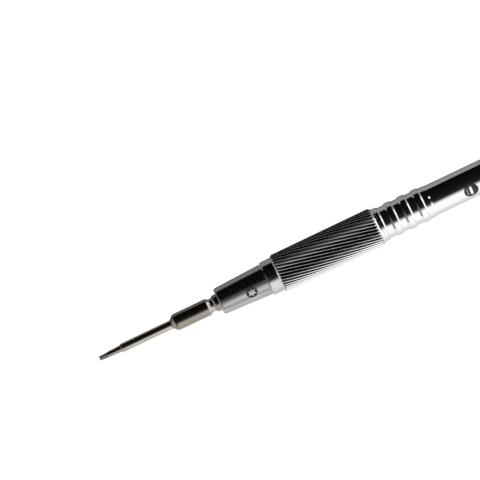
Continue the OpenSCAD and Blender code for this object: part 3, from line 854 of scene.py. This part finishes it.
def make_flat_mark():
    """A black rim, a dark face inside it, and the bars of a flat blade and its slot."""
    centre = (flat_low + flat_high) / 2 - flat_shift
    rim_r = (flat_high - flat_low) / 2
    face_r = rim_r - flat_rim_w

    def layer(name, middle, inner, outer, base, top):
        return sign_plate(name, middle, barrel_surface, flat_turn, inner, outer, base, top)

    rim = layer("flat_rim", centre, steady(face_r - margin), steady(rim_r), -sign_sink, sign_proud)
    finish_mesh("flat_sign_enamel", rim, "handle", ["flat_mark"], enamel)
    face = layer("flat_face", centre, steady(face_hole_r), steady(face_r),
                 -sign_sink, sign_proud * face_proud_share)
    finish_mesh("flat_sign_face", face, "handle", [], dark_enamel)
    # The thin bar's chrome is painted shade, so that it reads grey beside the bright wide bar
    bars = (
        ("flat_sign_wide_bar", -0.02, 0.31, 1.12, bright),
        ("flat_sign_thin_bar", -0.95, 0.22, 0.9, shaded_bar_chrome),
    )
    for name, shift, half_along, half_across, material in bars:
        bar = layer(name, centre + shift, steady(bar_hole_r), box_line(half_along, half_across),
                    sign_proud * bar_base_share, sign_proud + bar_proud)
        finish_mesh(name, bar, "handle", [], material)


# Clip


EAR_STEPS = 16
CORNER_STEPS = 5
FACE_STEPS = 8
ARM_ENDS = (0, 0.01, 0.05, 0.12, 0.22, 0.35, 0.5, 0.7)
NOTCH_ENDS = (-0.04, -0.001, 0.001, 0.04)
ARM_TAIL = (1.8, 2.1, 2.4, 2.7)
STRIP_ROWS = 60
STRIP_FROM_LIP = 1
STRIP_FROM_PIN = 1.9
HINGE_ROWS = 12
HINGE_HALF = 1.3


def turn_round(mesh, angle):
    """Moves a mesh that was built over -Z (turning angle 0) round the tool."""
    mesh.transform(Matrix.Rotation(angle, 4, "X"))
    return mesh


def to_hinge(mesh):
    """Moves a mesh that was turned about the tool's axis to the clip's hinge, before turn_round."""
    mesh.transform(Matrix.Rotation(math.pi / 2, 4, "Z"))
    mesh.transform(Matrix.Translation(Vector((pin_x, 0, -pin_rho)) * MM))


def plate(shape, outline, low, high, chamfer=0.06):
    """Adds a closed plate to a bmesh: outline points (x, rho) from side low to side high."""
    centre_x = sum(p[0] for p in outline) / len(outline)
    centre_r = sum(p[1] for p in outline) / len(outline)
    rings = []
    for side, inset in ((low, chamfer), (low + chamfer, 0), (high - chamfer, 0), (high, chamfer)):
        ring = []
        for x, rho in outline:
            away = Vector((x - centre_x, rho - centre_r))
            shrink = 1 - inset / max(away.length, 1e-6)
            px = centre_x + away.x * shrink
            pr = centre_r + away.y * shrink
            ring.append(shape.verts.new(Vector((px, side, -pr)) * MM))
        rings.append(ring)
    count = len(outline)
    for a, b in zip(rings, rings[1:]):
        for k in range(count):
            n = (k + 1) % count
            shape.faces.new((a[k], a[n], b[n], b[k]))
    shape.faces.new(rings[0])
    shape.faces.new(rings[-1])


def from_shape(name, shape):
    """A mesh from a bmesh, with its faces turned outward."""
    bmesh.ops.recalc_face_normals(shape, faces=shape.faces)
    mesh = bpy.data.meshes.new(name)
    shape.to_mesh(mesh)
    shape.free()
    return mesh


def make_collar():
    """The collar, with the two ears for the clip's pin and the key for the barrel's notch."""
    r = plain_r + collar_wall
    outline = rounded([
        (collar_start, bore_r, crisp),
        (collar_start, plain_r, eased),
        (collar_start + collar_chamfer, r, 0.12),
        (collar_end - collar_chamfer, r, 0.12),
        (collar_end, r - collar_chamfer, eased),
        (collar_end, bore_r, crisp),
    ])
    ring = turned("collar_ring", spread(outline, 1))
    shape = bmesh.new()
    shape.from_mesh(turn_round(ring, -clip_turn))
    sides = [(pin_x - ear_half_length, ear_root), (pin_x - ear_half_length, r)]
    for k in range(EAR_STEPS + 1):
        a = math.radians(190 - 200 * k / EAR_STEPS)
        sides.append((pin_x + knuckle_r * math.cos(a), pin_rho + knuckle_r * math.sin(a)))
    sides += [(pin_x + ear_half_length, r), (pin_x + ear_half_length, ear_root)]
    plate(shape, sides, ear_inner, ear_outer)
    plate(shape, sides, -ear_outer, -ear_inner)
    key_start = collar_start - key_length
    key_end = collar_start + collar_chamfer
    key_low = bore_r + key_gap
    key_high = plain_r - key_sink
    key = [(key_start, key_low), (key_start, key_high), (key_end, key_high), (key_end, key_low)]
    plate(shape, [(x, -rho) for x, rho in key], -key_half_w, key_half_w, 0.03)
    mesh = turn_round(from_shape("collar_shell", shape), clip_turn)
    finish_mesh("collar_with_ears", mesh, "clip_mount", ["clip_collar"], bright)


def make_pin():
    outline = rounded([(-ear_outer, 0, 0), (-ear_outer, pin_r, 0.12), (ear_outer, pin_r, 0.12),
                       (ear_outer, 0, 0)], closed=False)
    mesh = turned("pin_body", outline, 64, closed=False)
    to_hinge(mesh)
    turn_round(mesh, clip_turn)
    finish_mesh("clip_hinge_pin", mesh, "clip_mount", ["clip_pin"], steel)


def arm_height(x):
    """Height of the arm's middle above the axis: crowned, then dipping to the barrel."""
    pad_x = arm_low + pad_from_lip
    share = min(1, max(0, (pin_x - x) / (pin_x - pad_x)))
    crown = 0 if x > pin_x else arm_crown * math.sin(math.pi * share)
    dip = (1 + math.cos(math.pi * min(1, abs(x - pad_x) / dip_half_length))) / 2
    pad_rho = plain_r + pad_gap + arm_thick / 2
    return (pin_rho + crown) * (1 - dip) + pad_rho * dip


def arm_half_width(x):
    """Half the width of the arm: narrow at the lip and between the ears."""
    lip = arm_half_w * lip_share
    if abs(x - pin_x) < notch_half_length:
        return knuckle_half_w
    if x < pin_x:
        wide = lip + (arm_half_w - lip) * (x - arm_low) / (pin_x - notch_half_length - arm_low)
        end = x - arm_low
    else:
        wide = arm_half_w
        end = arm_high - x
    if end < arm_round:
        wide -= arm_round - math.sqrt(max(0, arm_round ** 2 - (arm_round - end) ** 2))
    return wide


def arm_places():
    """Where the arm has a row of points: closer at its ends and at the notches of the roll."""
    first = arm_low + STRIP_FROM_LIP
    last = pin_x - STRIP_FROM_PIN
    places = [arm_low + e for e in ARM_ENDS] + [arm_high - e for e in ARM_ENDS]
    places += [first + (last - first) * k / STRIP_ROWS for k in range(STRIP_ROWS + 1)]
    places += [pin_x + side * notch_half_length + e for side in (-1, 1) for e in NOTCH_ENDS]
    places += [pin_x - HINGE_HALF + 2 * HINGE_HALF * k / HINGE_ROWS for k in range(HINGE_ROWS + 1)]
    places += [pin_x + e for e in ARM_TAIL]
    return sorted(places)


def make_arm():
    """The sprung strip of the clip, with the roll that takes the hinge pin."""
    rows = []
    for x in arm_places():
        half = max(0.02, arm_half_width(x))
        rho = arm_height(x)
        e = min(arm_edge, half * 0.8)
        t = arm_thick / 2
        ring = []
        for sy, sz, start in ((1, 1, 0), (-1, 1, 90), (-1, -1, 180), (1, -1, 270)):
            for k in range(CORNER_STEPS + 1):
                a = math.radians(start + 90 * k / CORNER_STEPS)
                y = sy * (half - e) + e * math.cos(a)
                ring.append((x, y, rho + sz * (t - arm_edge) + arm_edge * math.sin(a)))
            if sy == sz:
                for k in range(1, FACE_STEPS):
                    y = sz * (half - e) * (1 - 2 * k / FACE_STEPS)
                    ring.append((x, y, rho + sz * t))
        rows.append(ring)

    def place(i, j):
        x, y, rho = rows[i][j]
        return x, y, -rho

    mesh = wrap_mesh("arm_strip", len(rows), len(rows[0]), place, closed_rows=False)
    shape = bmesh.new()
    shape.from_mesh(mesh)
    bmesh.ops.holes_fill(shape, edges=shape.edges, sides=0)
    knuckle = rounded([(-knuckle_half_w, 0, 0), (-knuckle_half_w, knuckle_r, 0.08),
                       (knuckle_half_w, knuckle_r, 0.08), (knuckle_half_w, 0, 0)], closed=False)
    roll = turned("arm_roll", knuckle, 64, closed=False)
    to_hinge(roll)
    shape.from_mesh(roll)
    mesh = turn_round(from_shape("arm_shell", shape), clip_turn)
    finish_mesh("clip_spring_arm", mesh, "clip", ["clip_arm"], bright)


# Tail


COLUMNS_PER_FLUTE = 16
RACE_STEPS = 12
DISH_STEPS = 12


def race(face_x, inward):
    """The ball groove in an end face, as a line from its inner to its outer edge."""
    half = math.sqrt(race_groove_r ** 2 - (face_x - balls_x) ** 2)
    edge = math.atan2(half, abs(face_x - balls_x))
    points = []
    for k in range(RACE_STEPS + 1):
        a = edge * (2 * k / RACE_STEPS - 1)
        points.append((balls_x + inward * race_groove_r * math.cos(a),
                       race_r + race_groove_r * math.sin(a), 0))
    return points


def make_plug():
    """The plug: a fluted flange, the groove of the rubber ring, the thread, and room for the bit."""
    flange_start = plug_end - flange_length
    body_r = bore_r - fit
    groove_end = barrel_end - o_ring_from_end
    groove_start = groove_end - o_ring_groove
    groove_r = body_r - o_ring_depth
    screw_hole_end = plug_end - screw_hole_depth
    wide_end = plug_start + wide_bore_length
    bore_end = plug_end - plug_floor
    outline = rounded([
        (screw_hole_end, 0, 0),
        (screw_hole_end, screw_hole_r, 0),
        (plug_end, screw_hole_r, crisp),
        *race(plug_end, -1),
        (plug_end, flange_r - flange_chamfer, eased),
        (plug_end - flange_chamfer, flange_r, eased),
        (flange_start + flange_chamfer, flange_r, eased),
        (flange_start, flange_r - flange_chamfer, eased),
        (flange_start, body_r, 0.03),
        (groove_end, body_r, crisp),
        (groove_end, groove_r, crisp),
        (groove_start, groove_r, crisp),
        (groove_start, body_r, crisp),
        (plug_start, body_r, 0.2),
        (plug_start, bit_bore_r, crisp),
        (wide_end, bit_bore_r, 0),
        (wide_end, tip_bore_r, 0),
        (bore_end, tip_bore_r, 0),
        (bore_end, 0, 0),
    ], closed=False)
    thread_start = plug_start + 0.4
    thread = helix(thread_start, groove_start - thread_relief, tail_pitch, tail_thread_depth)

    def shape(x, r, angle):
        on_flange = flange_start + margin < x < plug_end - margin
        if on_flange and r > flange_r - flange_chamfer + margin:
            phase = (angle * flange_flutes / (2 * math.pi) + 0.5) % 1 - 0.5
            across = phase * 2 * math.pi * flange_r / flange_flutes
            sag = flange_flute_r - math.sqrt(max(0, flange_flute_r ** 2 - across ** 2))
            return r - max(0, flange_flute_depth - sag)
        return thread(x, r, angle)

    line = spread_thread(outline, 0.1, plug_start, groove_start)
    mesh = turned("plug_shell", line, flange_flutes * COLUMNS_PER_FLUTE, shape, False)
    finish_mesh("knurled_tail_plug", mesh, "tail", ["tail_plug"], bright)


def make_cap():
    """The cap: it widens from the plug, has a fine groove, and holds the screw's head and the disc."""
    groove = cap_start + cap_groove_from_front
    head_seat = disc_start - screw_head_room
    outline = rounded([
        (cap_start, screw_neck_r, crisp),
        *race(cap_start, 1),
        (cap_start, flange_r - 0.05, 0.12),
        (cap_start + cap_neck, cap_r, 0.5),
        (groove, cap_r, crisp),
        (groove + cap_groove_depth, cap_r - cap_groove_depth, 0.04),
        (groove + 2 * cap_groove_depth, cap_r, crisp),
        (cap_end, cap_r, cap_round),
        (cap_end, disc_r + fit, 0.08),
        (disc_start, disc_r + fit, 0),
        (disc_start, screw_head_r, 0),
        (head_seat, screw_head_r, 0),
        (head_seat, screw_neck_r, 0),
    ])
    mesh = turned("cap_shell", spread(outline, 1))
    finish_mesh("turning_cap", mesh, "cap", ["swivel_cap"], bright)


def make_disc():
    face = []
    for k in range(DISH_STEPS):
        out = k / DISH_STEPS
        face.append((disc_end - disc_dish * (1 - out ** 2), (disc_r - disc_rim) * out, 0))
    outline = rounded(face + [
        (disc_end, disc_r - disc_rim, eased),
        (disc_end, disc_r, 0.12),
        (disc_start, disc_r, crisp),
        (disc_start, 0, 0),
    ], closed=False)
    mesh = turned("disc_shell", outline, closed=False)
    finish_mesh("dished_disc", mesh, "cap", ["cap_disc"], satin)


# Pieces that keep their solids


def dress_kept_pieces():
    """Gives the pieces inside the tool their materials and smooth shading."""
    dressed = {
        "collet": ("steel", steel),
        "collet_spring": ("steel", steel),
        "bit_sleeve": ("nylon", nylon),
        "spare_bit": ("nickel_bit", nickel),
        "magazine_spring": ("steel", steel),
        "clip_spring": ("steel", steel),
        "tail_o_ring": ("rubber", rubber),
        "swivel_balls": ("steel", steel),
        "ball_cage": ("brass", brass),
        "swivel_screw": ("steel", steel),
    }
    for node, (slot, material) in dressed.items():
        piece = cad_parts[node]
        piece.data.materials.clear()
        piece.data.materials.append(material)
        piece.data.shade_smooth()
        piece.data.set_sharp_from_angle(angle=SMOOTH_ANGLE)
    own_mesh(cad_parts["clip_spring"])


# Camera, floor and light


PIXELS = 480
PIXELS_PER_MM = 4.32
TIP_PIXEL = (99.76, 358.59)
AXIS_ANGLE = math.radians(25.51)
CAMERA_HEIGHT = 1.0


def make_camera():
    """Looks straight down on the tool, rolled so that it rises to the right as photographed."""
    width = PIXELS / PIXELS_PER_MM
    data = bpy.data.cameras.new("camera")
    data.sensor_width = 36
    data.lens = data.sensor_width * CAMERA_HEIGHT / MM / width
    data.clip_start = 0.01
    data.clip_end = 20
    camera = bpy.data.objects.new("camera", data)
    bpy.context.scene.collection.objects.link(camera)
    right = Vector((math.cos(AXIS_ANGLE), -math.sin(AXIS_ANGLE), 0))
    up = Vector((math.sin(AXIS_ANGLE), math.cos(AXIS_ANGLE), 0))
    across = (PIXELS / 2 - TIP_PIXEL[0]) / PIXELS_PER_MM
    rise = (TIP_PIXEL[1] - PIXELS / 2) / PIXELS_PER_MM
    camera.location = (right * across + up * rise) * MM + Vector((0, 0, CAMERA_HEIGHT))
    camera.rotation_euler = (0, 0, -AXIS_ANGLE)
    bpy.context.scene.camera = camera


def light_share(tree, socket):
    """An output of the Light Path node."""
    return tree.nodes.new("ShaderNodeLightPath").outputs[socket]


def grey_ramp(tree, value, stops):
    """A grey level from (position, level) stops, for a value from 0 to 1."""
    ramp = tree.nodes.new("ShaderNodeValToRGB")
    elements = ramp.color_ramp.elements
    while len(elements) < len(stops):
        elements.new(0.5)
    for element, (position, level) in zip(elements, stops):
        element.position = position
        element.color = (level, level, level, 1)
    tree.links.new(value, ramp.inputs["Fac"])
    return ramp.outputs["Color"]


class Studio:
    """Short words for the nodes of the world."""

    def __init__(self, tree):
        self.tree = tree
        self.place = tree.nodes.new("ShaderNodeTexCoord").outputs["Generated"]
        self.x = self.toward((1, 0, 0))

    def link(self, source, target):
        self.tree.links.new(source, target)

    def toward(self, direction):
        """How far a direction points toward another, from -1 to 1."""
        node = self.tree.nodes.new("ShaderNodeVectorMath")
        node.operation = "DOT_PRODUCT"
        node.inputs[1].default_value = direction
        self.link(self.place, node.inputs[0])
        return node.outputs["Value"]

    def step(self, value, low, high):
        """Goes softly from 0 to 1 while the value goes from low to high."""
        node = map_range(self.tree, value, low, high)
        node.interpolation_type = "SMOOTHSTEP"
        return node.outputs["Result"]

    def levels(self, value, stops):
        """A light level from (value, level) stops, for a value from -1 to 1."""
        halved = map_range(self.tree, value, -1, 1).outputs["Result"]
        return grey_ramp(self.tree, halved, [((at + 1) / 2, level) for at, level in stops])

    def mixed(self, share, first, second):
        """Goes from the first level to the second by the share."""
        node = self.tree.nodes.new("ShaderNodeMix")
        for socket, value in zip(node.inputs[:1] + node.inputs[2:4], (share, first, second)):
            if isinstance(value, (int, float)):
                socket.default_value = value
            else:
                self.link(value, socket)
        return node.outputs[0]


MAIN_LEVELS = ((-0.85, 0.0035), (-0.5, 0.006), (-0.1, 0.009), (0.08, 0.014), (0.22, 0.02),
               (0.3, 0.05), (0.42, 0.36), (0.53, 0.87), (0.62, 1.12))
NOSE_LEVELS = ((-0.15, 0.002), (-0.05, 0.03), (0.08, 0.18), (0.27, 0.26), (0.42, 0.36), (0.56, 0.7),
               (0.72, 1.0), (0.83, 0.9), (0.92, 0.42), (0.97, 0.04))
GRIP_LEVELS = ((-0.2, 0.003), (0.2, 0.006), (0.36, 0.05), (0.56, 0.16), (0.73, 0.39), (0.86, 0.7),
               (0.93, 0.55), (0.99, 0.27))
TIP_LEVELS = ((-0.5, 0.006), (-0.2, 0.03), (0.1, 0.1), (0.4, 0.26), (0.9, 0.36))
WHITE_LEVEL = 1.12
SLANTED = (0.45, -0.89, 0)
NEAR_SIDE = (0, -1, 0)
SMALL_LAMP = (0.44, 0.4, 0.8)


def make_world():
    """White to the camera. To the metal it is a studio: white walls on the near side and beyond the
    tail, greyer ones towards the tip, dark above and behind, and one small lamp overhead."""
    world = bpy.data.worlds.new("studio")
    bpy.context.scene.world = world
    world.use_nodes = True
    tree = world.node_tree
    background = tree.nodes["Background"]
    studio = Studio(tree)
    near_side = studio.toward(NEAR_SIDE)
    level = studio.levels(studio.toward(SLANTED), MAIN_LEVELS)
    walls = ((-0.04, -0.1, NOSE_LEVELS), (-0.14, -0.2, GRIP_LEVELS), (-0.4, -0.6, TIP_LEVELS))
    for low, high, levels in walls:
        level = studio.mixed(studio.step(studio.x, low, high), level, studio.levels(near_side, levels))
    level = studio.mixed(studio.step(studio.x, -0.88, -0.97), level, 0.85)
    level = studio.mixed(studio.step(studio.x, 0.5, 0.66), level, WHITE_LEVEL)
    level = studio.mixed(studio.step(studio.toward(SMALL_LAMP), 0.985, 0.992), level, WHITE_LEVEL)
    level = studio.mixed(light_share(tree, "Is Camera Ray"), level, 1)
    tree.links.new(level, background.inputs["Strength"])
    background.inputs["Color"].default_value = (1, 1, 1, 1)


# What metal sees of the table, from the given reach behind the tool (0) to as far in front of it (1):
# painted shade behind the tool, a painted shadow along it, and painted light in front
PAINTED_TABLE_REACH = 0.15
PAINTED_TABLE_LEVELS = ((0, 0.004), (0.12, 0.3), (0.47, 0.31), (0.479, 0.06), (0.492, 0.08), (0.508, 0.66),
               (0.537, 0.78), (0.57, 0.88), (0.61, 0.96), (0.7, 1.0))
FLOOR_HALF = 1.5


def make_floor():
    """A white table. Metal sees light and shade painted on it by place: painted shade behind the tool, a
    painted shadow along it, and painted light in front of it.
    """
    low_z = cad_box[0][2]
    mesh = bpy.data.meshes.new("floor")
    corners = ((-1, -1), (1, -1), (1, 1), (-1, 1))
    mesh.from_pydata([(x * FLOOR_HALF, y * FLOOR_HALF, low_z) for x, y in corners], [], [(0, 1, 2, 3)])
    floor = bpy.data.objects.new("floor", mesh)
    bpy.context.scene.collection.objects.link(floor)
    material = bpy.data.materials.new("white_table")
    material.use_nodes = True
    tree = material.node_tree
    tree.nodes.remove(tree.nodes["Principled BSDF"])
    output = tree.nodes["Material Output"]

    def glow(strength):
        node = tree.nodes.new("ShaderNodeEmission")
        node.inputs["Strength"].default_value = strength
        return node

    def diffuse(level):
        node = tree.nodes.new("ShaderNodeBsdfDiffuse")
        node.inputs["Color"].default_value = (level, level, level, 1)
        return node

    camera_look = tree.nodes.new("ShaderNodeAddShader")
    tree.links.new(glow(0.94).outputs[0], camera_look.inputs[0])
    tree.links.new(diffuse(0.12).outputs[0], camera_look.inputs[1])
    place = tree.nodes.new("ShaderNodeTexCoord").outputs["Object"]
    split = tree.nodes.new("ShaderNodeSeparateXYZ")
    tree.links.new(place, split.inputs[0])
    # Painted light and shade: for glossy rays the table glows grey behind the tool, dark along it and white
    # in front
    painted_table_glow = glow(1)
    ahead = map_range(tree, split.outputs["Y"], PAINTED_TABLE_REACH, -PAINTED_TABLE_REACH).outputs["Result"]
    tree.links.new(grey_ramp(tree, ahead, PAINTED_TABLE_LEVELS), painted_table_glow.inputs["Color"])

    def mixed(share, first, second):
        node = tree.nodes.new("ShaderNodeMixShader")
        tree.links.new(light_share(tree, share), node.inputs[0])
        tree.links.new(first.outputs[0], node.inputs[1])
        tree.links.new(second.outputs[0], node.inputs[2])
        return node

    unseen = mixed("Is Glossy Ray", diffuse(0.8), painted_table_glow)
    whole = mixed("Is Camera Ray", unseen, camera_look)
    tree.links.new(whole.outputs[0], output.inputs["Surface"])
    material.cycles.emission_sampling = "NONE"
    mesh.materials.append(material)


def make_lamp():
    """A broad soft lamp overhead for what isn't metal."""
    data = bpy.data.lights.new("soft_lamp", "SUN")
    data.energy = 2.0
    data.angle = math.radians(60)
    lamp = bpy.data.objects.new("soft_lamp", data)
    lamp.rotation_euler = (math.radians(-15), math.radians(-20), 0)
    lamp.visible_glossy = False
    bpy.context.scene.collection.objects.link(lamp)


make_bit()
make_nose()
make_star_mark()
make_body()
make_grip()
make_barrel()
make_flat_mark()
make_collar()
make_pin()
make_arm()
make_plug()
make_cap()
make_disc()
dress_kept_pieces()
make_camera()
make_world()
make_floor()
make_lamp()

bpy.context.scene.view_settings.view_transform = "Standard"
